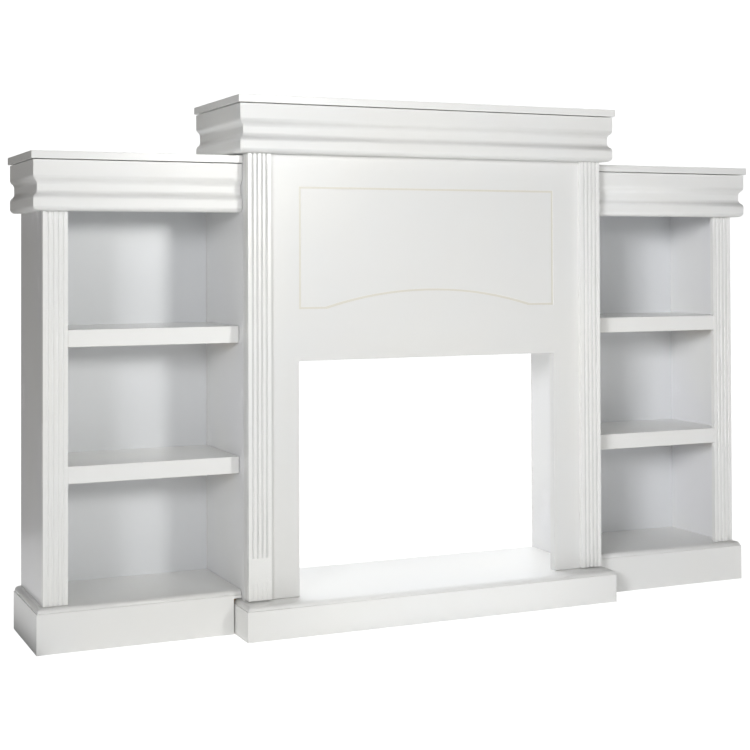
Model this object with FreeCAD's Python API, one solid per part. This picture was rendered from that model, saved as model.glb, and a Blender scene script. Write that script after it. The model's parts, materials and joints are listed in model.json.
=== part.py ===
"""Fireplace mantel with two side bookcases, in white lacquered board.

Frame: +X is the object's own right-hand side seen from the front, +Y runs to the
wall, +Z is up.  The origin is on the floor, in the middle of the overall width and
depth.  Depths named "..._depth" are measured forward from the wall plane.
All lengths are in millimetres.
"""

import FreeCAD, Part
import math
import os

from FreeCAD import Vector

# ---- overall sizes -------------------------------------------------------------------
overall_width = 1784.0
overall_depth = 334.0
centre_height = 1156.0
bookcase_height = 1030.0
centre_width = 878.0          # over the two centre side panels
bookcase_outer_x = 863.0      # outer face of each bookcase side panel

# ---- board stock ---------------------------------------------------------------------
board = 16.0                  # tops, shelves, floor boards, plinths
side_board = 19.0             # side panels and the centre front panel
frame_strip = 12.0            # pilasters, bookcase header rails and shelf lippings
centre_header = 9.0           # header rail behind the centre cornice
moulding = 24.0               # cornice moulding, at its thickest
back_sheet = 3.0              # thin bookcase backs
batten = 20.0                 # square section of cleats and battens
floor_cleat_height = 40.0     # cleats under the bookcase floors stand on edge
rebate = 9.0                  # width of the rebate that takes a bookcase back

# ---- depths of the fronts, from the wall ---------------------------------------------
centre_panel_depth = 282.0
centre_pilaster_depth = centre_panel_depth + frame_strip
bookcase_frame_depth = 234.0
bookcase_panel_depth = bookcase_frame_depth - frame_strip
top_overhang = 5.0            # top boards past the cornice

# ---- heights -------------------------------------------------------------------------
glide_height = 2.0            # pads that lift every board off the floor
hearth_top = 76.0
bookcase_floor_top = 95.0
cornice_height = 104.4
opening_top = 585.0
opening_half_width = 319.0
shelf_tops = {"lower": 380.0, "upper": 662.0}
lipping_height = 36.0
pilaster_width = 52.0

# ---- joints left open ----------------------------------------------------------------
unit_gap = 1.2                # between the centre side panels and the bookcase boards
plinth_gap = 2.5              # round each centre plinth return, in its notch
plinth_run_in = 12.0          # how far that return enters the bookcase plinth
top_gap = 1.8                 # between a top board and the cornice under it
centre_panel_lift = 0.6
centre_pilaster_lift = 3.0
bookcase_pilaster_lift = 0.8

# ---- cornice profile, measured down from its top -------------------------------------
cornice_flat = 31.0
cornice_cove_in = 19.0        # height of the curve into the waist
cornice_waist = 12.0
cornice_cove_out = 18.0       # height of the curve back out
cornice_inset = 9.0           # depth of the waist
cornice_nose = 12.0           # height of the rounded bottom edge
cornice_nose_inset = 9.0

# ---- plinth profile ------------------------------------------------------------------
plinth_quirk = 2.5            # small step under the rounded edge
plinth_round = 9.0

# ---- flutes and the routed outline ---------------------------------------------------
flute_count = 4
flute_radius = 2.4
flute_depth = 2.4
plain_block = (116.0, 169.0)  # height range without flutes on the left centre pilaster
foot_flute_depth = 0.6        # the faint flutes below that block
outline_half_width = 316.0
outline_bottom = 700.0
outline_top = 962.0
outline_shoulder = 62.0       # flat length at each bottom corner
outline_rise = 37.0           # rise of the shallow arch
outline_groove = 5.0
outline_groove_depth = 0.8

# ---- hardware ------------------------------------------------------------------------
bolt_radius = 3.0
bolt_head_radius = 8.0
bolt_head = 2.0
pin_head_radius = 3.0
pin_head = 1.0                # heads lie flush with the wall plane
pin_radius = 0.9
pin_length = 12.0
pins_per_board = 5
pins_per_edge = 7
glide_radius = 7.0
glue_block = 25.0             # square blocks behind the plinth corners
wall_hole_radius = 2.5
wall_hole_spacing = 406.0     # one stud bay

# ---- worked-out positions ------------------------------------------------------------
wall_y = overall_depth / 2
half_width = overall_width / 2
centre_half = centre_width / 2
centre_inner = centre_half - side_board
bookcase_inner_x = bookcase_outer_x - side_board
centre_top_under = centre_height - board
bookcase_top_under = bookcase_height - board
centre_cornice_bottom = centre_top_under - top_gap - cornice_height
bookcase_cornice_bottom = bookcase_top_under - top_gap - cornice_height
bookcase_start = centre_half + unit_gap
centre_header_depth = centre_panel_depth + centre_header
centre_cornice_depth = centre_header_depth + moulding
bookcase_cornice_depth = bookcase_frame_depth + moulding
centre_plinth_back = overall_depth - board
bookcase_plinth_depth = bookcase_frame_depth + board
back_face_depth = pin_head
back_front_depth = back_face_depth + back_sheet


# ---- helpers -------------------------------------------------------------------------
def slab(x0, x1, near, far, z0, z1):
    """Box from x0 to x1 and z0 to z1, between two depths from the wall."""
    corner = Vector(x0, wall_y - far, z0)
    return Part.makeBox(x1 - x0, far - near, z1 - z0, corner)


def plan_prism(points, z0, z1):
    """Upright prism over (x, depth) plan points."""
    corners = [Vector(x, wall_y - depth, z0) for x, depth in points]
    face = Part.Face(Part.makePolygon(corners + corners[:1]))
    return face.extrude(Vector(0, 0, z1 - z0))


def mirrored(shape):
    return shape.mirror(Vector(0, 0, 0), Vector(1, 0, 0))


def joined(shapes):
    """Separate solids of one node."""
    return Part.makeCompound(shapes)


def drilled(shape, cutters):
    for cutter in cutters:
        shape = shape.cut(cutter)
    return shape


def spread(start, end, count):
    """Evenly spaced values from start to end."""
    step = (end - start) / (count - 1)
    return [start + step * index for index in range(count)]


def save(name, shape):
    shape.exportStep("parts/" + name + ".step")


def save_pair(name, shape):
    """Write a +X piece and its -X twin."""
    save("right_" + name, shape)
    save("left_" + name, mirrored(shape))


# ---- mouldings -----------------------------------------------------------------------
def s_curve(start, end):
    """Two equal tangent arcs between points (inset, z), upright at both ends."""
    width = end[0] - start[0]
    height = end[1] - start[1]
    radius = (width ** 2 + height ** 2) / (4 * abs(width))
    half_turn = math.asin(abs(height) / (2 * radius)) / 2
    run = math.copysign(radius * (1 - math.cos(half_turn)), width)
    rise = math.copysign(radius * math.sin(half_turn), height)
    middle = (start[0] + width / 2, start[1] + height / 2)
    first = (start[0] + run, start[1] + rise)
    second = (end[0] - run, end[1] - rise)
    return [("arc", start, first, middle), ("arc", middle, second, end)]


def quarter_round(start, end):
    """Convex quarter ellipse seen as an arc through its 45 degree point."""
    reach = 1 - math.cos(math.radians(45))
    through = (start[0] + (end[0] - start[0]) * reach, end[1] - (end[1] - start[1]) * reach)
    return [("arc", start, through, end)]


def cornice_outline(bottom):
    """Face edge of the cornice, from its top down: pieces in (inset, z)."""
    top = bottom + cornice_height
    flat_end = top - cornice_flat
    waist_top = flat_end - cornice_cove_in
    waist_end = waist_top - cornice_waist
    nose_top = bottom + cornice_nose
    bulge_top = waist_end - cornice_cove_out
    outline = [("line", (0, top), (0, flat_end))]
    outline += s_curve((0, flat_end), (cornice_inset, waist_top))
    outline.append(("line", (cornice_inset, waist_top), (cornice_inset, waist_end)))
    outline += s_curve((cornice_inset, waist_end), (0, bulge_top))
    outline.append(("line", (0, bulge_top), (0, nose_top)))
    outline += quarter_round((0, nose_top), (cornice_nose_inset, bottom))
    outline.append(("line", (cornice_nose_inset, bottom), (moulding, bottom)))
    outline.append(("line", (moulding, bottom), (moulding, top)))
    outline.append(("line", (moulding, top), (0, top)))
    return outline


def plinth_outline(top):
    """Section of a plinth board: upright face, quirk and rounded top edge."""
    shoulder = top - plinth_round - 1
    round_start = (plinth_quirk, shoulder + 1)
    round_end = (plinth_quirk + plinth_round, top)
    outline = [
        ("line", (0, glide_height), (0, shoulder)),
        ("line", (0, shoulder), (plinth_quirk, shoulder)),
        ("line", (plinth_quirk, shoulder), round_start),
    ]
    outline += quarter_round(round_start, round_end)
    outline.append(("line", round_end, (board, top)))
    outline.append(("line", (board, top), (board, glide_height)))
    outline.append(("line", (board, glide_height), (0, glide_height)))
    return outline


def section_face(outline, place):
    """Planar face of a moulding section; place turns (inset, z) into a point."""
    edges = []
    for kind, *points in outline:
        spots = [place(*point) for point in points]
        if kind == "line":
            edges.append(Part.LineSegment(*spots).toShape())
        else:
            edges.append(Part.Arc(*spots).toShape())
    return Part.Face(Part.Wire(edges))


def front_run(outline, face_depth, x0, x1):
    """Moulding along X with its face at face_depth."""
    def place(inset, z):
        return Vector(x0, wall_y - face_depth + inset, z)
    return section_face(outline, place).extrude(Vector(x1 - x0, 0, 0))


def side_run(outline, face_x, near, far):
    """Moulding along Y on the +X side with its face at face_x."""
    def place(inset, z):
        return Vector(face_x - inset, wall_y - far, z)
    return section_face(outline, place).extrude(Vector(0, far - near, 0))


def mitred_front(outline, face_depth, thickness, inner_x, outer_x):
    """Front moulding with an outer mitre; inner_x below zero mitres both ends."""
    run = front_run(outline, face_depth, inner_x, outer_x)
    back_depth = face_depth - thickness
    low = -(outer_x - thickness) if inner_x < 0 else inner_x
    plan = [(inner_x, face_depth), (outer_x, face_depth),
            (outer_x - thickness, back_depth), (low, back_depth)]
    return run.common(plan_prism(plan, 0, centre_height))


def mitred_side(outline, face_depth, thickness, outer_x, near):
    """Side moulding that meets the front one in a mitre."""
    run = side_run(outline, outer_x, near, face_depth)
    plan = [(outer_x, face_depth), (outer_x, near),
            (outer_x - thickness, near), (outer_x - thickness, face_depth - thickness)]
    return run.common(plan_prism(plan, 0, centre_height))


# ---- fluted pilasters ----------------------------------------------------------------
def flute(x, face_depth, depth, z0, z1):
    """Round-bottomed groove cutter; its axis lies on the face, or in front for a shallow flute."""
    axis = Vector(x, wall_y - face_depth - (flute_radius - depth), z0)
    return Part.makeCylinder(flute_radius, z1 - z0, axis)


def pilaster(inner_x, face_depth, z0, z1, blocked=False):
    """Upright strip with evenly spaced flutes; blocked leaves a plain block near the foot."""
    strip = slab(inner_x, inner_x + pilaster_width, face_depth - frame_strip, face_depth, z0, z1)
    pitch = pilaster_width / (flute_count + 1)
    for index in range(flute_count):
        x = inner_x + pitch * (index + 1)
        if blocked:
            strip = strip.cut(flute(x, face_depth, foot_flute_depth, z0 - 1, plain_block[0]))
            strip = strip.cut(flute(x, face_depth, flute_depth, plain_block[1], z1 + 1))
        else:
            strip = strip.cut(flute(x, face_depth, flute_depth, z0 - 1, z1 + 1))
    return strip


# ---- centre unit ---------------------------------------------------------------------
def outline_wire(grow):
    """Routed outline on the front panel: a rectangle with a shallow arch at the bottom."""
    side = outline_half_width + grow
    top = outline_top + grow
    bottom = outline_bottom - grow
    spring = outline_half_width - outline_shoulder - grow
    crown = outline_bottom + outline_rise - grow
    y = wall_y - centre_panel_depth

    def spot(x, z):
        return Vector(x, y, z)
    corners = [spot(-spring, bottom), spot(-side, bottom), spot(-side, top),
               spot(side, top), spot(side, bottom), spot(spring, bottom)]
    arch = Part.Arc(corners[-1], spot(0, crown), corners[0]).toShape()
    return Part.Wire(Part.makePolygon(corners).Edges + [arch])


def outline_groove_cutter():
    half = outline_groove / 2
    outer = Part.Face(outline_wire(half)).extrude(Vector(0, outline_groove_depth, 0))
    inner = Part.Face(outline_wire(-half)).extrude(Vector(0, outline_groove_depth, 0))
    return outer.cut(inner)


def front_panel():
    """Panel with the fire opening, routed outline and a gap behind each pilaster foot."""
    back = centre_panel_depth - side_board
    foot = hearth_top + centre_panel_lift
    panel = slab(-centre_half, centre_half, back, centre_panel_depth, foot, centre_top_under)
    opening = slab(-opening_half_width, opening_half_width, back - 1, centre_panel_depth + 1,
                   hearth_top, opening_top)
    gap = slab(centre_half - pilaster_width, centre_half + 1, back - 1, centre_panel_depth + 1,
               hearth_top, hearth_top + centre_pilaster_lift)
    return drilled(panel, [opening, gap, mirrored(gap), outline_groove_cutter()])


def hearth_board():
    """Full-depth hearth, wider in front of the side panels."""
    split = centre_panel_depth - side_board
    plan = [(-centre_inner, 0), (centre_inner, 0), (centre_inner, split), (centre_half, split),
            (centre_half, centre_plinth_back), (-centre_half, centre_plinth_back),
            (-centre_half, split), (-centre_inner, split)]
    return plan_prism(plan, hearth_top - board, hearth_top)


def centre_side():
    depth = centre_panel_depth - side_board
    panel = slab(centre_inner, centre_half, 0, depth, glide_height, centre_top_under)
    return drilled(panel, bolt_shafts())


def back_rail():
    """Top rail against the wall, with two holes for wall screws."""
    rail = slab(-centre_inner, centre_inner, 0, board, centre_top_under - 4 * batten,
                centre_top_under)
    return drilled(rail, [wall_hole(-1), wall_hole(1)])


def wall_hole(side):
    start = Vector(side * wall_hole_spacing / 2, wall_y - board, centre_top_under - 2 * batten)
    return Part.makeCylinder(wall_hole_radius, board, start, Vector(0, 1, 0))


def hearth_rails():
    """Two stretchers on edge that carry the hearth board."""
    rails = []
    for near in (batten, centre_panel_depth / 2):
        rails.append(slab(-centre_inner, centre_inner, near, near + board,
                          glide_height, hearth_top - board))
    return joined(rails)


def panel_battens():
    """Upright battens that hold the front panel to the side panels."""
    far = centre_panel_depth - side_board
    piece = slab(centre_inner - batten, centre_inner, far - batten, far,
                 hearth_top + batten, centre_top_under - 2 * batten)
    return joined([piece, mirrored(piece)])


def corner_block(x, depth, step_x, step_depth):
    """Three-cornered glue block under the top board."""
    leg = 3 * batten
    plan = [(x, depth), (x + step_x * leg, depth), (x, depth + step_depth * leg)]
    return plan_prism(plan, centre_top_under - board, centre_top_under)


def top_blocks():
    front = centre_panel_depth - side_board
    blocks = []
    for side in (-1, 1):
        blocks.append(corner_block(side * centre_inner, front, -side, -1))
        blocks.append(corner_block(side * centre_inner, board, -side, 1))
    return joined(blocks)


def build_centre():
    far = overall_depth
    cornice_x = centre_half + moulding
    top_x = cornice_x + top_overhang
    save("center_top_board", slab(-top_x, top_x, 0, centre_cornice_depth + top_overhang,
                                  centre_top_under, centre_height))
    cornice = cornice_outline(centre_cornice_bottom)
    save("center_cornice_front",
         mitred_front(cornice, centre_cornice_depth, moulding, -cornice_x, cornice_x))
    save_pair("center_cornice_return",
              mitred_side(cornice, centre_cornice_depth, moulding, cornice_x, 0))
    save("center_header_rail", slab(-centre_half, centre_half, centre_panel_depth,
                                    centre_header_depth, centre_cornice_bottom,
                                    centre_top_under))
    save("center_front_panel", front_panel())
    foot = hearth_top + centre_pilaster_lift
    strip = (centre_pilaster_depth, foot, centre_cornice_bottom)
    save("right_center_pilaster", pilaster(centre_half - pilaster_width, *strip))
    save("left_center_pilaster", pilaster(-centre_half, *strip, blocked=True))
    save_pair("center_side_panel", centre_side())
    save("center_hearth_board", hearth_board())
    save("center_hearth_rails", hearth_rails())
    plinth = plinth_outline(hearth_top)
    plinth_x = centre_half + board
    save("center_plinth_front", mitred_front(plinth, far, board, -plinth_x, plinth_x))
    save_pair("center_plinth_return",
              mitred_side(plinth, far, board, plinth_x, bookcase_plinth_depth - plinth_run_in))
    save("center_back_rail", back_rail())
    save("center_panel_battens", panel_battens())
    save("center_top_blocks", top_blocks())


# ---- bookcases -----------------------------------------------------------------------
def bookcase_side():
    """Outer side panel, rebated along its back edge for the thin back."""
    panel = slab(bookcase_inner_x, bookcase_outer_x, 0, bookcase_panel_depth,
                 glide_height, bookcase_top_under)
    recess = slab(bookcase_inner_x, bookcase_inner_x + rebate, -1, back_front_depth,
                  bookcase_floor_top - board, bookcase_top_under)
    return drilled(panel.cut(recess), pin_shafts())


def bookcase_back():
    sheet = slab(bookcase_start, bookcase_inner_x + rebate, back_face_depth, back_front_depth,
                 bookcase_floor_top - board, bookcase_top_under)
    return drilled(sheet, pin_shafts())


def bookcase_floor():
    """Floor board, wider at the front where the pilaster stands on it."""
    plan = [(bookcase_start, back_front_depth), (bookcase_inner_x, back_front_depth),
            (bookcase_inner_x, bookcase_panel_depth), (bookcase_outer_x, bookcase_panel_depth),
            (bookcase_outer_x, bookcase_frame_depth), (bookcase_start, bookcase_frame_depth)]
    return drilled(plan_prism(plan, bookcase_floor_top - board, bookcase_floor_top), pin_shafts())


def cleat_pair(top, height):
    """Two cleats under a board: one on the centre side, drilled, one on the outer side."""
    near = 2 * batten
    far = bookcase_panel_depth - batten
    inner = slab(centre_half, centre_half + batten, near, far, top - height, top)
    outer = slab(bookcase_inner_x - batten, bookcase_inner_x, near, far, top - height, top)
    return [drilled(inner, bolt_shafts()), outer]


def bolt_heights():
    """Bolts pass through the cleats, half a batten above their lower edges."""
    shelf_bolts = [top - board - batten / 2 for top in shelf_tops.values()]
    return shelf_bolts + [bookcase_floor_top - board - floor_cleat_height + batten / 2]


def bolt_shafts():
    shafts = []
    for z in bolt_heights():
        for depth in (bookcase_panel_depth / 2, bookcase_panel_depth - 2 * batten):
            start = Vector(centre_inner, wall_y - depth, z)
            length = side_board + batten
            shafts.append(Part.makeCylinder(bolt_radius, length, start, Vector(1, 0, 0)))
    return shafts


def bookcase_bolts():
    """Bolts with wide flat heads inside the centre unit."""
    bolts = []
    for shaft in bolt_shafts():
        box = shaft.BoundBox
        centre = Vector(centre_inner - bolt_head, box.Center.y, box.Center.z)
        head = Part.makeCylinder(bolt_head_radius, bolt_head, centre, Vector(1, 0, 0))
        bolts.append(shaft.fuse(head).removeSplitter())
    return joined(bolts + [mirrored(bolt) for bolt in bolts])


def build_shelf(name, top):
    pilaster_inner = bookcase_outer_x - pilaster_width
    shelf = slab(bookcase_start, bookcase_inner_x, back_front_depth, bookcase_panel_depth,
                 top - board, top)
    save_pair(name + "_shelf", drilled(shelf, pin_shafts()))
    save_pair(name + "_shelf_lipping",
              slab(bookcase_start, pilaster_inner, bookcase_panel_depth, bookcase_frame_depth,
                   top - lipping_height, top))


def centre_return_notch():
    """Notch in the end of a bookcase plinth that takes the centre plinth return."""
    return slab(centre_half, centre_half + board + plinth_gap, bookcase_frame_depth - 1,
                bookcase_plinth_depth + 1, 0, hearth_top + plinth_gap)


def build_bookcases():
    cornice_x = bookcase_outer_x + moulding
    save_pair("top_board", slab(bookcase_start, half_width, 0,
                                bookcase_cornice_depth + top_overhang,
                                bookcase_top_under, bookcase_height))
    cornice = cornice_outline(bookcase_cornice_bottom)
    save_pair("cornice_front",
              mitred_front(cornice, bookcase_cornice_depth, moulding, bookcase_start, cornice_x))
    save_pair("cornice_return",
              mitred_side(cornice, bookcase_cornice_depth, moulding, cornice_x, 0))
    save_pair("header_rail", slab(bookcase_start, bookcase_outer_x, bookcase_panel_depth,
                                  bookcase_frame_depth, bookcase_cornice_bottom,
                                  bookcase_top_under))
    save_pair("side_panel", bookcase_side())
    save_pair("pilaster",
              pilaster(bookcase_outer_x - pilaster_width, bookcase_frame_depth,
                       bookcase_floor_top + bookcase_pilaster_lift, bookcase_cornice_bottom))
    save_pair("back_panel", bookcase_back())
    save_pair("floor_board", bookcase_floor())
    save_pair("floor_cleats", joined(cleat_pair(bookcase_floor_top - board, floor_cleat_height)))
    shelf_cleats = []
    for name, top in shelf_tops.items():
        build_shelf(name, top)
        shelf_cleats += cleat_pair(top - board, batten)
    save_pair("shelf_cleats", joined(shelf_cleats))
    plinth = plinth_outline(bookcase_floor_top)
    plinth_x = bookcase_outer_x + board
    front = mitred_front(plinth, bookcase_plinth_depth, board, bookcase_start, plinth_x)
    save_pair("plinth_front", front.cut(centre_return_notch()))
    save_pair("plinth_return", mitred_side(plinth, bookcase_plinth_depth, board, plinth_x, 0))


# ---- small hardware ------------------------------------------------------------------
def pin_spots():
    """(x, z) of the pins through a bookcase back: along each board and up the side."""
    spots = []
    for top in [bookcase_floor_top, *shelf_tops.values()]:
        for x in spread(centre_half + 2 * batten, bookcase_inner_x - 2 * batten, pins_per_board):
            spots.append((x, top - board / 2))
    for z in spread(bookcase_floor_top + 2 * batten, bookcase_top_under - 2 * batten, pins_per_edge):
        spots.append((bookcase_inner_x + rebate / 2, z))
    return spots


def pin_shafts():
    shafts = []
    for x, z in pin_spots():
        start = Vector(x, wall_y - pin_head - pin_length, z)
        shafts.append(Part.makeCylinder(pin_radius, pin_length, start, Vector(0, 1, 0)))
    return shafts


def back_pins():
    pins = []
    for (x, z), shaft in zip(pin_spots(), pin_shafts()):
        start = Vector(x, wall_y - pin_head, z)
        head = Part.makeCylinder(pin_head_radius, pin_head, start, Vector(0, 1, 0))
        pins.append(shaft.fuse(head).removeSplitter())
    return joined(pins)


def block_behind_plinth(outer_x, plinth_back, top):
    return slab(outer_x - glue_block, outer_x, plinth_back - glue_block, plinth_back,
                glide_height, top)


def plinth_blocks():
    """Glue blocks behind the plinth corners of all three units."""
    floor_under = bookcase_floor_top - board
    blocks = [
        block_behind_plinth(centre_half, centre_plinth_back, hearth_top - board),
        block_behind_plinth(bookcase_inner_x, bookcase_frame_depth, floor_under),
        block_behind_plinth(bookcase_start + glue_block, bookcase_frame_depth, floor_under),
    ]
    return joined(blocks + [mirrored(block) for block in blocks])


def floor_glides():
    """Round pads under the side panels and the plinth blocks."""
    centre_x = centre_half - side_board / 2
    outer_x = bookcase_outer_x - side_board / 2
    spots = [
        (centre_x, 2 * batten), (centre_x, centre_panel_depth - 3 * batten),
        (outer_x, 2 * batten), (outer_x, bookcase_panel_depth - 2 * batten),
        (centre_half - glue_block / 2, centre_plinth_back - glue_block / 2),
        (bookcase_inner_x - glue_block / 2, bookcase_frame_depth - glue_block / 2),
    ]
    pads = []
    for x, depth in spots:
        pads.append(Part.makeCylinder(glide_radius, glide_height, Vector(x, wall_y - depth, 0)))
    return joined(pads + [mirrored(pad) for pad in pads])


def build_hardware():
    save("bookcase_bolts", bookcase_bolts())
    save_pair("back_pins", back_pins())
    save("plinth_blocks", plinth_blocks())
    save("floor_glides", floor_glides())


os.makedirs("parts", exist_ok=True)
build_centre()
build_bookcases()
build_hardware()
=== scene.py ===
"""Looks of the white lacquered fireplace mantel with two side bookcases.

Lengths are in metres, in the CAD frame: +X right seen from the front, +Y to the wall,
+Z up, origin on the floor in the middle of the overall width and depth.
"""

import json
import math

import bpy
from mathutils import Matrix, Vector


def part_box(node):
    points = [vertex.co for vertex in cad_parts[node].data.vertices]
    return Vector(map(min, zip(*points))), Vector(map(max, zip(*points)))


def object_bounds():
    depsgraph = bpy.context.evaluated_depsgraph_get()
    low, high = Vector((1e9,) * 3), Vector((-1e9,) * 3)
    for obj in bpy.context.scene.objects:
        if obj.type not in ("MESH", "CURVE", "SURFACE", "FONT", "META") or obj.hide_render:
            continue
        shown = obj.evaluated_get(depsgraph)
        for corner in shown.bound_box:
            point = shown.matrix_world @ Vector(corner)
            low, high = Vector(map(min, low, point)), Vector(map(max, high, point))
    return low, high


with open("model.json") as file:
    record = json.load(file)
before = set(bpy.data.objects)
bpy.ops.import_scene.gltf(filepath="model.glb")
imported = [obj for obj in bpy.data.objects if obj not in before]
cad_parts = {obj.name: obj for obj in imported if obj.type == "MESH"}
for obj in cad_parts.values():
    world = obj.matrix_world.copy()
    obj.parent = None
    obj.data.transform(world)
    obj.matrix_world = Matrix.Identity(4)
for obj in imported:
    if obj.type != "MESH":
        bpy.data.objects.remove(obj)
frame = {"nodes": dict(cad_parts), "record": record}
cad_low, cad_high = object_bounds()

MM = 0.001

# ---- places taken from the frame ---------------------------------------------------------
wall_y = cad_high.y
panel_front_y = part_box("center_front_panel")[0].y
sheet_front_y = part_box("left_back_panel")[0].y
groove_from_z = 0.65             # above this, cuts in the front panel show its cream core
sheet_middle_y = (sheet_front_y + wall_y) / 2

# ---- camera ------------------------------------------------------------------------------
sensor = 36.0                    # mm across the square frame
lens = 71.9472                   # mm
lens_shift = -0.1872             # share of the frame; its own axis crosses above the middle
camera_place = Vector((-1.4891, -3.1559, 0.8085))
camera_turn = 23.96              # degrees to the right of straight at the wall
camera_tilt = 0.89               # degrees above the horizon
camera_roll = -0.20


def make_camera():
    data = bpy.data.cameras.new("camera")
    data.sensor_width = sensor
    data.lens = lens
    data.shift_y = lens_shift
    camera = bpy.data.objects.new("camera", data)
    bpy.context.scene.collection.objects.link(camera)
    turn = Matrix.Rotation(math.radians(-camera_turn), 4, "Z")
    tilt = Matrix.Rotation(math.radians(90 + camera_tilt), 4, "X")
    roll = Matrix.Rotation(math.radians(camera_roll), 4, "Z")
    camera.matrix_world = Matrix.Translation(camera_place) @ turn @ tilt @ roll
    bpy.context.scene.camera = camera


# ---- node helpers ------------------------------------------------------------------------
class Nodes:
    """Short calls for building one node tree."""

    def __init__(self, tree):
        self.tree = tree
        tree.nodes.clear()

    def add(self, kind, **settings):
        node = self.tree.nodes.new(kind)
        for key, value in settings.items():
            setattr(node, key, value)
        return node

    def feed(self, socket, value):
        """Link a socket or set a constant."""
        if isinstance(value, bpy.types.NodeSocket):
            self.tree.links.new(value, socket)
        else:
            socket.default_value = value

    def math(self, operation, a, b=0.0, clamp=False):
        node = self.add("ShaderNodeMath", operation=operation, use_clamp=clamp)
        self.feed(node.inputs[0], a)
        self.feed(node.inputs[1], b)
        return node.outputs[0]

    def ramp(self, value, low, high, to_low=0.0, to_high=1.0, smooth=False):
        """Map a value from low..high to to_low..to_high, clamped."""
        node = self.add("ShaderNodeMapRange", clamp=True)
        node.interpolation_type = "SMOOTHSTEP" if smooth else "LINEAR"
        for socket, number in zip(node.inputs, (value, low, high, to_low, to_high)):
            self.feed(socket, number)
        return node.outputs[0]

    def mix(self, share, a, b):
        """Colour mix from a to b."""
        node = self.add("ShaderNodeMix", data_type="RGBA")
        self.feed(node.inputs[0], share)
        self.feed(node.inputs[6], a)
        self.feed(node.inputs[7], b)
        return node.outputs[2]

    def position(self, stretch=(1.0, 1.0, 1.0)):
        """Object coordinates, which are metres in the frame, scaled per axis."""
        coords = self.add("ShaderNodeTexCoord").outputs["Object"]
        mapping = self.add("ShaderNodeMapping")
        self.feed(mapping.inputs["Vector"], coords)
        mapping.inputs["Scale"].default_value = stretch
        return mapping.outputs[0]

    def split(self, vector):
        node = self.add("ShaderNodeSeparateXYZ")
        self.feed(node.inputs[0], vector)
        return node.outputs

    def noise(self, vector, scale, detail=3.0, rough=0.5, distort=0.0):
        node = self.add("ShaderNodeTexNoise")
        self.feed(node.inputs["Vector"], vector)
        node.inputs["Scale"].default_value = scale
        node.inputs["Detail"].default_value = detail
        node.inputs["Roughness"].default_value = rough
        node.inputs["Distortion"].default_value = distort
        return node.outputs["Fac"]

    def bump(self, height, strength, depth, normal=None):
        """Bump with its relief depth in metres."""
        node = self.add("ShaderNodeBump")
        node.inputs["Strength"].default_value = strength
        node.inputs["Distance"].default_value = depth
        self.feed(node.inputs["Height"], height)
        if normal is not None:
            self.feed(node.inputs["Normal"], normal)
        return node.outputs[0]

    def surface(self, colour, roughness, normal, **sockets):
        """Principled shader; further sockets are set to constants."""
        shader = self.add("ShaderNodeBsdfPrincipled")
        self.feed(shader.inputs["Base Color"], colour)
        self.feed(shader.inputs["Roughness"], roughness)
        self.feed(shader.inputs["Normal"], normal)
        for name, value in sockets.items():
            shader.inputs[name.replace("_", " ")].default_value = value
        self.output(shader)

    def output(self, shader, kind="ShaderNodeOutputMaterial"):
        self.tree.links.new(shader.outputs[0], self.add(kind).inputs["Surface"])


def new_material(name):
    material = bpy.data.materials.new(name)
    material.use_nodes = True
    return material, Nodes(material.node_tree)


def rgb(red, green, blue):
    return (red, green, blue, 1.0)


# ---- lacquer -----------------------------------------------------------------------------
ACROSS, DEEP, UPRIGHT = 0, 1, 2          # which axis a board's length follows

WHITE = rgb(0.885, 0.885, 0.868)
WHITE_COOL = rgb(0.872, 0.876, 0.870)
WHITE_WARM = rgb(0.885, 0.872, 0.840)
# painted light: this bluer white stands in for the cool cast of the shaded bays
WHITE_BLUE = rgb(0.860, 0.864, 0.884)
WHITES = (WHITE, WHITE_COOL, WHITE_WARM)
RAW_BOARD = rgb(0.42, 0.29, 0.17)
CORE_CREAM = rgb(0.71, 0.69, 0.62)
SATIN_COAT = {"IOR": 1.50, "Coat_Weight": 0.12, "Coat_Roughness": 0.22}

groove_lip = 0.15 * MM           # depth at which the cream core starts to show in a cut
groove_full = 0.5 * MM           # depth at which it shows fully
groove_end = 2.5 * MM            # past this depth the core colour fades again
groove_gone = 3 * MM


def dim(colour, tone):
    """The same colour, darker."""
    return tuple(tone * channel for channel in colour[:3]) + (1.0,)


def lacquer_colour(n, spot, cool=False, tone=1.0):
    """White lacquer: slow shifts between a cooler and a warmer white, and faint specks."""
    drift = n.ramp(n.noise(spot, 2.6, 2.0), 0.35, 0.65, smooth=True)
    # painted light: with cool set, the side panels get bluer whites for the cool cast of the shaded
    # bays
    first, second, third = (WHITE_COOL, WHITE_BLUE, WHITE_BLUE) if cool else WHITES
    colour = n.mix(drift, dim(first, tone), dim(second, tone))
    cloud = n.ramp(n.noise(spot, 9.0, 2.0), 0.35, 0.75, 0.0, 0.30)
    colour = n.mix(cloud, colour, dim(third, tone))
    speck = n.ramp(n.noise(spot, 420.0, 1.0), 0.74, 0.82, 0.0, 0.10)
    return n.mix(speck, colour, rgb(0.70, 0.68, 0.64))


def lacquer_normal(n, spot, grain_axis):
    """Orange peel over a long low ripple and the board's faint sanding lines."""
    ripple = n.bump(n.noise(spot, 9.0, 1.0), 0.30, 0.8 * MM)
    stretch = [260.0, 260.0, 260.0]
    stretch[grain_axis] = 5.0
    lines = n.noise(n.position(stretch), 1.0, 2.0)
    sanded = n.bump(lines, 0.10, 0.03 * MM, ripple)
    peel = n.noise(spot, 420.0, 1.5, 0.45)
    return n.bump(peel, 0.22, 0.04 * MM, sanded)


def lacquer_roughness(n, spot, low, high):
    """Satin, with slow shifts in gloss and a fine grain."""
    patches = n.noise(spot, 5.0, 2.0)
    fine = n.noise(spot, 900.0, 2.0)
    value = n.math("ADD", n.math("MULTIPLY", patches, 0.7), n.math("MULTIPLY", fine, 0.3))
    return n.ramp(value, 0.25, 0.75, low, high)


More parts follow.
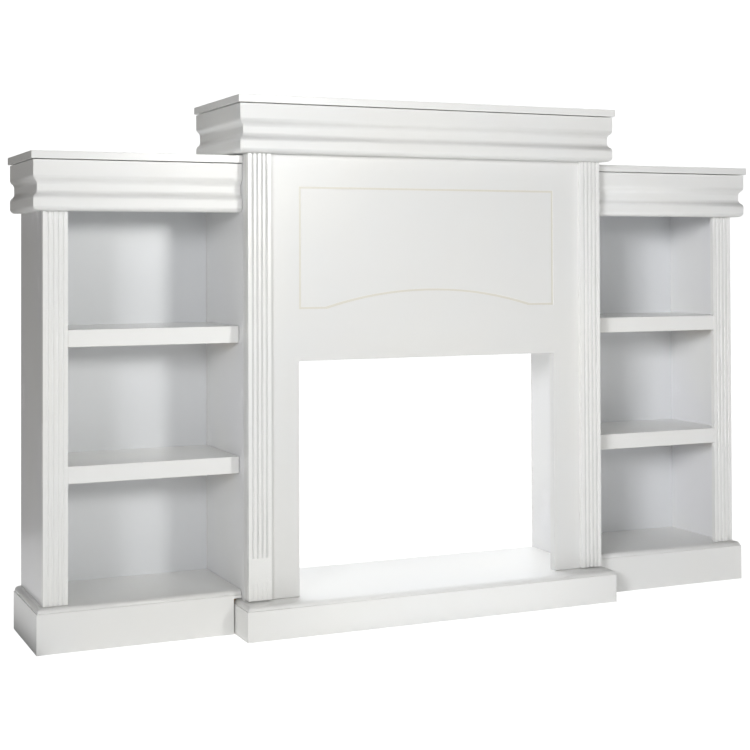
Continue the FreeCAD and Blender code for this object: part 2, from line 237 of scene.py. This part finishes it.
def raw_board(n, spot):
    """Bare fibreboard: brown, with short pale and dark fibres."""
    fibre = n.noise(spot, 900.0, 3.0, 0.7)
    colour = n.mix(n.ramp(fibre, 0.35, 0.68), rgb(0.33, 0.22, 0.13), rgb(0.52, 0.38, 0.24))
    return n.mix(n.ramp(n.noise(spot, 25.0), 0.4, 0.7, 0.0, 0.5), colour, RAW_BOARD)


def make_lacquer(name, grain_axis, low=0.21, high=0.29, groove=False, cool=False, tone=1.0):
    """Satin white lacquer over fibreboard, bare on the edges against the wall."""
    material, n = new_material(name)
    spot = n.position()
    axes = n.split(spot)
    colour = lacquer_colour(n, spot, cool, tone)
    if groove:
        below = n.ramp(axes[1], panel_front_y + groove_lip, panel_front_y + groove_full)
        above = n.ramp(axes[1], panel_front_y + groove_gone, panel_front_y + groove_end)
        high_up = n.math("GREATER_THAN", axes[2], groove_from_z)
        inside = n.math("MULTIPLY", n.math("MULTIPLY", below, above), high_up)
        colour = n.mix(inside, colour, CORE_CREAM)
    overspray = n.noise(spot, 60.0, 3.0)
    edge = n.math("ADD", axes[1], n.math("MULTIPLY", overspray, 1.2 * MM))
    bare = n.ramp(edge, wall_y - 0.1 * MM, wall_y + 0.3 * MM)
    colour = n.mix(bare, colour, raw_board(n, spot))
    rough = lacquer_roughness(n, spot, low, high)
    rough = n.math("ADD", rough, n.math("MULTIPLY", bare, 0.4), clamp=True)
    normal = lacquer_normal(n, spot, grain_axis)
    n.surface(colour, rough, normal, **SATIN_COAT)
    return material


def make_fluted(name, node, tone):
    """Moulding lacquer, with painted shade and duller lacquer in one pilaster's flutes."""
    material, n = new_material(name)
    spot = n.position()
    axes = n.split(spot)
    low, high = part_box(node)
    edge = 2 * MM
    deep = n.ramp(axes[1], low.y + 0.3 * MM, low.y + 1.6 * MM, smooth=True)
    after = n.math("GREATER_THAN", axes[0], low.x + edge)
    before = n.math("LESS_THAN", axes[0], high.x - edge)
    inside = n.math("MULTIPLY", deep, n.math("MULTIPLY", after, before))
    # painted shade: the flutes' hollows are darkened, patchy along their length
    shade_patches = n.ramp(n.noise(n.position((60.0, 60.0, 6.0)), 1.0, 3.0), 0.3, 0.7, 0.75, 1.0)
    shade = n.math("MULTIPLY", inside, shade_patches)
    colour = n.mix(shade, lacquer_colour(n, spot), rgb(tone, tone, 0.99 * tone))
    rough = lacquer_roughness(n, spot, 0.22, 0.32)
    rough = n.math("ADD", rough, n.math("MULTIPLY", shade, 0.2), clamp=True)
    normal = lacquer_normal(n, spot, UPRIGHT)
    n.surface(colour, rough, normal, **SATIN_COAT)
    return material


def make_arris(name):
    """The rounded board edges, where the lacquer lies thinner and is rubbed in places."""
    material, n = new_material(name)
    spot = n.position()
    rub = n.ramp(n.noise(spot, 70.0, 4.0, 0.65), 0.52, 0.74, 0.0, 0.55)
    colour = n.mix(rub, rgb(0.86, 0.86, 0.85), rgb(0.80, 0.76, 0.68))
    rough = n.ramp(n.noise(spot, 160.0, 3.0), 0.3, 0.7, 0.24, 0.42)
    normal = n.bump(n.noise(spot, 700.0, 2.0), 0.25, 0.05 * MM)
    n.surface(colour, rough, normal, IOR=1.50, Coat_Weight=0.15, Coat_Roughness=0.20)
    return material


# ---- other finishes ----------------------------------------------------------------------
def make_back_sheet():
    """Thin hardboard: cool white paper face in front, its blue tint painted light for the shaded
    bays; brown screened face behind.
    """
    material, n = new_material("back_sheet_faced")
    spot = n.position()
    axes = n.split(spot)
    behind = n.math("GREATER_THAN", axes[1], sheet_middle_y)
    drift = n.noise(spot, 3.0, 1.0)
    # painted light: the face whites lean blue for the cool cast of the shaded bays
    face = n.mix(drift, rgb(0.835, 0.848, 0.866), rgb(0.820, 0.836, 0.858))
    fleck = n.ramp(n.noise(spot, 340.0, 2.0, 0.6), 0.60, 0.80, 0.0, 0.10)
    face = n.mix(fleck, face, rgb(0.70, 0.71, 0.74))
    fibre = n.noise(n.position((420.0, 420.0, 150.0)), 1.0, 4.0, 0.7)
    brown = n.mix(n.ramp(fibre, 0.3, 0.7), rgb(0.145, 0.080, 0.040), rgb(0.300, 0.185, 0.100))
    screen = n.add("ShaderNodeTexVoronoi", feature="F1")
    n.feed(screen.inputs["Vector"], spot)
    screen.inputs["Scale"].default_value = 520.0
    brown = n.mix(n.ramp(screen.outputs["Distance"], 0.1, 0.6, 0.35, 0.0), brown,
                  rgb(0.08, 0.045, 0.02))
    colour = n.mix(behind, face, brown)
    face_rough = n.ramp(n.noise(spot, 7.0, 1.0), 0.0, 1.0, 0.24, 0.28)
    rough = n.math("ADD", face_rough, n.math("MULTIPLY", behind, 0.45), clamp=True)
    pebble = n.bump(n.noise(spot, 380.0, 2.0, 0.5), 0.25, 0.05 * MM)
    press = n.math("MULTIPLY", screen.outputs["Distance"], behind)
    normal = n.bump(press, 0.6, 0.5 * MM, pebble)
    n.surface(colour, rough, normal, IOR=1.50)
    return material


def make_softwood(name, grain_axis):
    """Planed pine: long growth rings, streaks and fine fibre."""
    material, n = new_material(name)
    stretch = [16.0, 16.0, 16.0]
    stretch[grain_axis] = 0.9
    rings = n.add("ShaderNodeTexWave", wave_type="RINGS", rings_direction="SPHERICAL")
    n.feed(rings.inputs["Vector"], n.position(stretch))
    rings.inputs["Scale"].default_value = 2.2
    rings.inputs["Distortion"].default_value = 3.5
    rings.inputs["Detail"].default_value = 3.0
    rings.inputs["Detail Scale"].default_value = 1.2
    late = n.ramp(rings.outputs["Fac"], 0.55, 0.95)
    colour = n.mix(late, rgb(0.640, 0.450, 0.245), rgb(0.430, 0.240, 0.105))
    fine = [700.0, 700.0, 700.0]
    fine[grain_axis] = 12.0
    fibre = n.noise(n.position(fine), 1.0, 3.0, 0.6)
    colour = n.mix(n.ramp(fibre, 0.35, 0.70, 0.0, 0.45), colour, rgb(0.72, 0.56, 0.35))
    rough = n.ramp(fibre, 0.3, 0.7, 0.52, 0.74)
    normal = n.bump(fibre, 0.45, 0.12 * MM, n.bump(late, 0.25, 0.2 * MM))
    n.surface(colour, rough, normal, IOR=1.45)
    return material


def make_zinc():
    """Zinc-plated steel: turning marks, dull spots and a faint yellow pass."""
    material, n = new_material("zinc_plate")
    spot = n.position()
    cloud = n.noise(spot, 130.0, 4.0, 0.6)
    colour = n.mix(n.ramp(cloud, 0.35, 0.7), rgb(0.62, 0.63, 0.65), rgb(0.55, 0.52, 0.42))
    rough = n.ramp(n.noise(spot, 300.0, 3.0), 0.3, 0.7, 0.24, 0.46)
    turned = n.noise(n.position((300.0, 2600.0, 2600.0)), 1.0, 2.0)
    normal = n.bump(turned, 0.35, 0.06 * MM)
    n.surface(colour, rough, normal, Metallic=1.0)
    return material


def make_nylon():
    """Moulded off-white nylon pads with fine texture and floor dirt near the rim."""
    material, n = new_material("moulded_nylon")
    spot = n.position()
    axes = n.split(spot)
    dirt = n.math("MULTIPLY", n.ramp(axes[2], 1.2 * MM, 0.0), n.noise(spot, 260.0, 3.0))
    colour = n.mix(dirt, rgb(0.66, 0.65, 0.61), rgb(0.32, 0.29, 0.25))
    rough = n.ramp(n.noise(spot, 500.0, 2.0), 0.3, 0.7, 0.46, 0.62)
    normal = n.bump(n.noise(spot, 1500.0, 2.0), 0.4, 0.05 * MM)
    n.surface(colour, rough, normal, IOR=1.53)
    return material


# ---- finishes and rounded edges on the CAD nodes -----------------------------------------

def board_axis(node):
    """Axis of the node's longest side."""
    low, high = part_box(node)
    size = high - low
    return max(range(3), key=lambda axis: size[axis])


def softwood_axis(node):
    if node in ("center_hearth_rails", "center_back_rail"):
        return ACROSS
    if "cleats" in node:
        return DEEP
    return UPRIGHT


flute_shade_tone = {                   # how pale the painted shade in each pilaster's flutes is
    "left_center_pilaster": 0.68,
    "right_center_pilaster": 0.68,
    "left_pilaster": 0.86,
    "right_pilaster": 0.76,
}


def finish_of(node, slot, library):
    """The material for one node, from its material slot and its grain."""
    if slot == "back_sheet":
        return library["back_sheet"]
    if slot == "zinc_steel":
        return library["zinc"]
    if slot == "glide_nylon":
        return library["nylon"]
    if slot == "plain_softwood":
        return library["softwood", softwood_axis(node)]
    if node == "center_front_panel":
        return library["grooved"]
    if node in flute_shade_tone:
        return make_fluted("lacquer_" + node, node, flute_shade_tone[node])
    if node == "center_cornice_front":
        return library["center_cornice"]
    if node.endswith("side_panel"):
        return library["side_panel"]
    if slot == "lacquered_moulding":
        return library["moulding", board_axis(node)]
    return library["board", board_axis(node)]


edge_radius = {                  # by a word in the node's name; the first match counts
    "lipping": 1.0 * MM,
    "top_board": 0.8 * MM,
    "pilaster": 0.3 * MM,
    "cornice": 0.35 * MM,
    "plinth_blocks": 1.5 * MM,
    "plinth": 0.4 * MM,
    "hearth_board": 0.5 * MM,
    "front_panel": 0.3 * MM,
    "side_panel": 0.6 * MM,
    "floor_board": 0.7 * MM,
    "back_panel": 0.3 * MM,
    "cleats": 1.2 * MM,
    "battens": 1.2 * MM,
    "rails": 1.2 * MM,
    "back_rail": 1.2 * MM,
    "top_blocks": 1.2 * MM,
    "bolts": 0.4 * MM,
    "pins": 0.25 * MM,
    "glides": 0.5 * MM,
}
usual_radius = 0.7 * MM


def radius_for(node):
    for word, radius in edge_radius.items():
        if word in node:
            return radius
    return usual_radius


def round_edges(thing, radius, arris_slot):
    """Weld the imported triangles, clear the flat ones, and round the sharp edges."""
    weld = thing.modifiers.new("weld", "WELD")
    weld.merge_threshold = 0.01 * MM
    flat = thing.modifiers.new("flat_faces", "DECIMATE")
    flat.decimate_type = "DISSOLVE"
    flat.angle_limit = math.radians(0.5)
    edges = thing.modifiers.new("rounded_edges", "BEVEL")
    edges.width = radius
    edges.segments = 2
    edges.limit_method = "ANGLE"
    edges.angle_limit = math.radians(50)
    edges.use_clamp_overlap = False
    edges.harden_normals = True
    edges.miter_outer = "MITER_ARC"
    edges.material = arris_slot


def dress_nodes():
    """Give every CAD node its finish and its rounded edges."""
    slots = {part["node"]: part["material_slot"] for part in frame["record"]["subparts"]}
    library = {
        "grooved": make_lacquer("lacquer_grooved_panel", ACROSS, 0.30, 0.38, groove=True, tone=0.88),
        "center_cornice": make_lacquer("lacquer_center_cornice", ACROSS, 0.36, 0.46, tone=0.94),
    }
    # painted light: the side panels' lacquer is a bluer copy, for the cool cast of the shaded bays
    library["side_panel"] = make_lacquer("lacquer_side_panel", UPRIGHT, cool=True)
    for axis, word in ((ACROSS, "across"), (DEEP, "deep"), (UPRIGHT, "upright")):
        library["board", axis] = make_lacquer("lacquer_board_" + word, axis, 0.27, 0.31)
        library["moulding", axis] = make_lacquer("lacquer_moulding_" + word, axis, 0.36, 0.46)
        library["softwood", axis] = make_softwood("softwood_" + word, axis)
    library["back_sheet"] = make_back_sheet()
    library["zinc"] = make_zinc()
    library["nylon"] = make_nylon()
    arris = make_arris("lacquer_arris")
    for node, thing in frame["nodes"].items():
        slot = slots[node]
        thing.data.materials.clear()
        thing.data.materials.append(finish_of(node, slot, library))
        lacquered = slot.startswith("lacquered")
        if lacquered:
            thing.data.materials.append(arris)
        round_edges(thing, radius_for(node), 1 if lacquered else -1)


# ---- studio ------------------------------------------------------------------------------
floor_reach = 40.0
floor_drop = 0.2 * MM            # keeps the floor just clear of the feet
bounce_x = (-2.2, 6.0)           # extent of the floor that lights the object
bounce_y = (-6.0, 1.25)
shade_reach = 0.05               # how far the shade beside the left foot spreads
shade_under = 0.03               # how far it runs in under the foot
shade_glow = 0.12                # share of the floor's glow left in that shade


def light_room(n):
    """Light by direction: a soft grey front, a dimmer wall side, and dark sides."""
    direction = n.add("ShaderNodeTexCoord").outputs["Generated"]
    y = n.split(direction)[1]
    front = n.ramp(y, 0.05, -0.45, smooth=True)
    behind = n.ramp(y, 0.05, 0.45, smooth=True)
    colour = n.mix(behind, rgb(0.014, 0.012, 0.010), rgb(0.140, 0.131, 0.120))
    colour = n.mix(front, colour, rgb(0.25, 0.25, 0.247))
    background = n.add("ShaderNodeBackground")
    n.feed(background.inputs["Color"], colour)
    background.inputs["Strength"].default_value = 1.0
    n.output(background, "ShaderNodeOutputWorld")


def make_room():
    world = bpy.data.worlds.new("studio")
    bpy.context.scene.world = world
    world.use_nodes = True
    light_room(Nodes(world.node_tree))


def link_mesh(name, vertices, faces, material):
    mesh = bpy.data.meshes.new(name)
    mesh.from_pydata(vertices, [], faces)
    mesh.materials.append(material)
    thing = bpy.data.objects.new(name, mesh)
    bpy.context.scene.collection.objects.link(thing)
    return thing


def show_to_camera_only(thing):
    for ray in ("diffuse", "glossy", "transmission", "volume_scatter", "shadow"):
        setattr(thing, "visible_" + ray, False)


def glow_material(name, strength, white, share):
    """Pale matt surface that also glows, so that a soft shadow stays pale on it."""
    material, n = new_material(name)
    matt = n.add("ShaderNodeBsdfDiffuse")
    grain = n.noise(n.position(), 3.0, 3.0)
    n.feed(matt.inputs["Color"], n.mix(grain, white, dim(white, 0.97)))
    glow = n.add("ShaderNodeEmission")
    glow.inputs["Color"].default_value = rgb(1.0, 1.0, 1.0)
    glow.inputs["Strength"].default_value = strength
    blend = n.add("ShaderNodeMixShader")
    blend.inputs[0].default_value = share
    n.tree.links.new(matt.outputs[0], blend.inputs[1])
    n.tree.links.new(glow.outputs[0], blend.inputs[2])
    n.output(blend)
    material.cycles.emission_sampling = "NONE"
    return material


def bounce_material(strength):
    """Studio floor as the lacquer sees it: pale and evenly lit, shaded beside the left foot."""
    material, n = new_material("floor_bounce")
    spot = n.position()
    axes = n.split(spot)
    side_x = cad_low.x
    beside = n.ramp(axes[1], cad_low.y - shade_reach, cad_low.y + 2 * shade_reach, smooth=True)
    near = n.ramp(axes[0], side_x - shade_reach, side_x - 0.1 * shade_reach, smooth=True)
    outside = n.math("LESS_THAN", axes[0], side_x + shade_under)
    shaded = n.math("MULTIPLY", beside, n.math("MULTIPLY", near, outside))
    grain = n.noise(spot, 3.0, 3.0)
    pale = n.mix(grain, rgb(0.80, 0.80, 0.79), rgb(0.775, 0.775, 0.765))
    matt = n.add("ShaderNodeBsdfDiffuse")
    n.feed(matt.inputs["Color"], n.mix(shaded, pale, rgb(0.25, 0.25, 0.25)))
    glow = n.add("ShaderNodeEmission")
    n.feed(glow.inputs["Strength"], n.ramp(shaded, 0.0, 1.0, strength, shade_glow * strength))
    both = n.add("ShaderNodeAddShader")
    n.tree.links.new(matt.outputs[0], both.inputs[0])
    n.tree.links.new(glow.outputs[0], both.inputs[1])
    n.output(both)
    material.cycles.emission_sampling = "NONE"
    return material


def make_floor():
    """A white floor for the camera, and under it the pale one that lights the object."""
    reach = floor_reach
    corners = [(-reach, -reach, 0), (reach, -reach, 0), (reach, reach, 0), (-reach, reach, 0)]
    shown = link_mesh("floor", corners, [(0, 1, 2, 3)],
                      glow_material("floor_white", 1.40, rgb(0.85, 0.85, 0.85), 0.75))
    shown.location.z = -floor_drop
    (left, right), (front, back) = bounce_x, bounce_y
    patch = [(left, front, 0), (right, front, 0), (right, back, 0), (left, back, 0)]
    bounce = link_mesh("bounce_floor", patch, [(0, 1, 2, 3)], bounce_material(0.38))
    bounce.location.z = -2 * floor_drop
    bounce.visible_camera = False
    show_to_camera_only(shown)


def make_backdrop():
    """White all round, seen by the camera only."""
    reach = floor_reach
    corners = [(x * reach, y * reach, z) for z in (-1, reach) for y in (-1, 1) for x in (-1, 1)]
    faces = [(0, 1, 5, 4), (2, 6, 7, 3), (0, 4, 6, 2), (1, 3, 7, 5), (4, 5, 7, 6)]
    backdrop = link_mesh("backdrop", corners, faces,
                         glow_material("backdrop_white", 1.1, rgb(1, 1, 1), 1.0))
    show_to_camera_only(backdrop)


def area_light(name, place, target, width, height, watts, colour, spread=180.0, gloss=True):
    data = bpy.data.lights.new(name, "AREA")
    data.spread = math.radians(spread)
    data.shape = "RECTANGLE"
    data.size = width
    data.size_y = height
    data.energy = watts
    data.color = colour
    light = bpy.data.objects.new(name, data)
    light.location = place
    light.visible_glossy = gloss
    aim = Vector(target) - Vector(place)
    light.rotation_euler = aim.to_track_quat("-Z", "Y").to_euler()
    bpy.context.scene.collection.objects.link(light)


LEFT_LIGHT = (0.985, 0.985, 1.0)
RIGHT_LIGHT = (1.0, 1.0, 0.975)
BACK_LIGHT = (0.95, 0.975, 1.0)


def light_studio():
    """Two soft lights at the left, one near the camera, a smaller one right, and two behind."""
    middle = (0.0, 0.0, 0.6)
    area_light("light_far_left", (-4.20, -4.60, 1.80), middle, 1.20, 1.00, 60.0, LEFT_LIGHT)
    right_bay = (1.5, 0.0, 0.6)
    area_light("light_left", (-2.60, -3.20, 1.50), right_bay, 0.90, 0.90, 4.4, LEFT_LIGHT, 40)
    area_light("light_camera", (-1.20, -3.60, 1.60), middle, 0.80, 0.80, 8.0, RIGHT_LIGHT)
    left_bay = (-0.75, 0.0, 0.7)
    area_light("light_right", (0.62, -3.35, 1.33), left_bay, 0.46, 0.46, 3.1, RIGHT_LIGHT, 54)
    tops = (0.0, 0.05, 1.05)
    area_light("light_tops", (0.0, 1.20, 3.00), tops, 2.20, 0.60, 9.5, BACK_LIGHT, 60, False)
    hearth = (0.45, 0.0, 0.45)
    area_light("light_behind", (0.45, 1.00, 0.55), hearth, 2.20, 1.00, 6.6, BACK_LIGHT)


# ---- scene -------------------------------------------------------------------------------
make_camera()
make_room()
make_floor()
make_backdrop()
light_studio()
dress_nodes()
bpy.context.scene.view_settings.view_transform = "Standard"
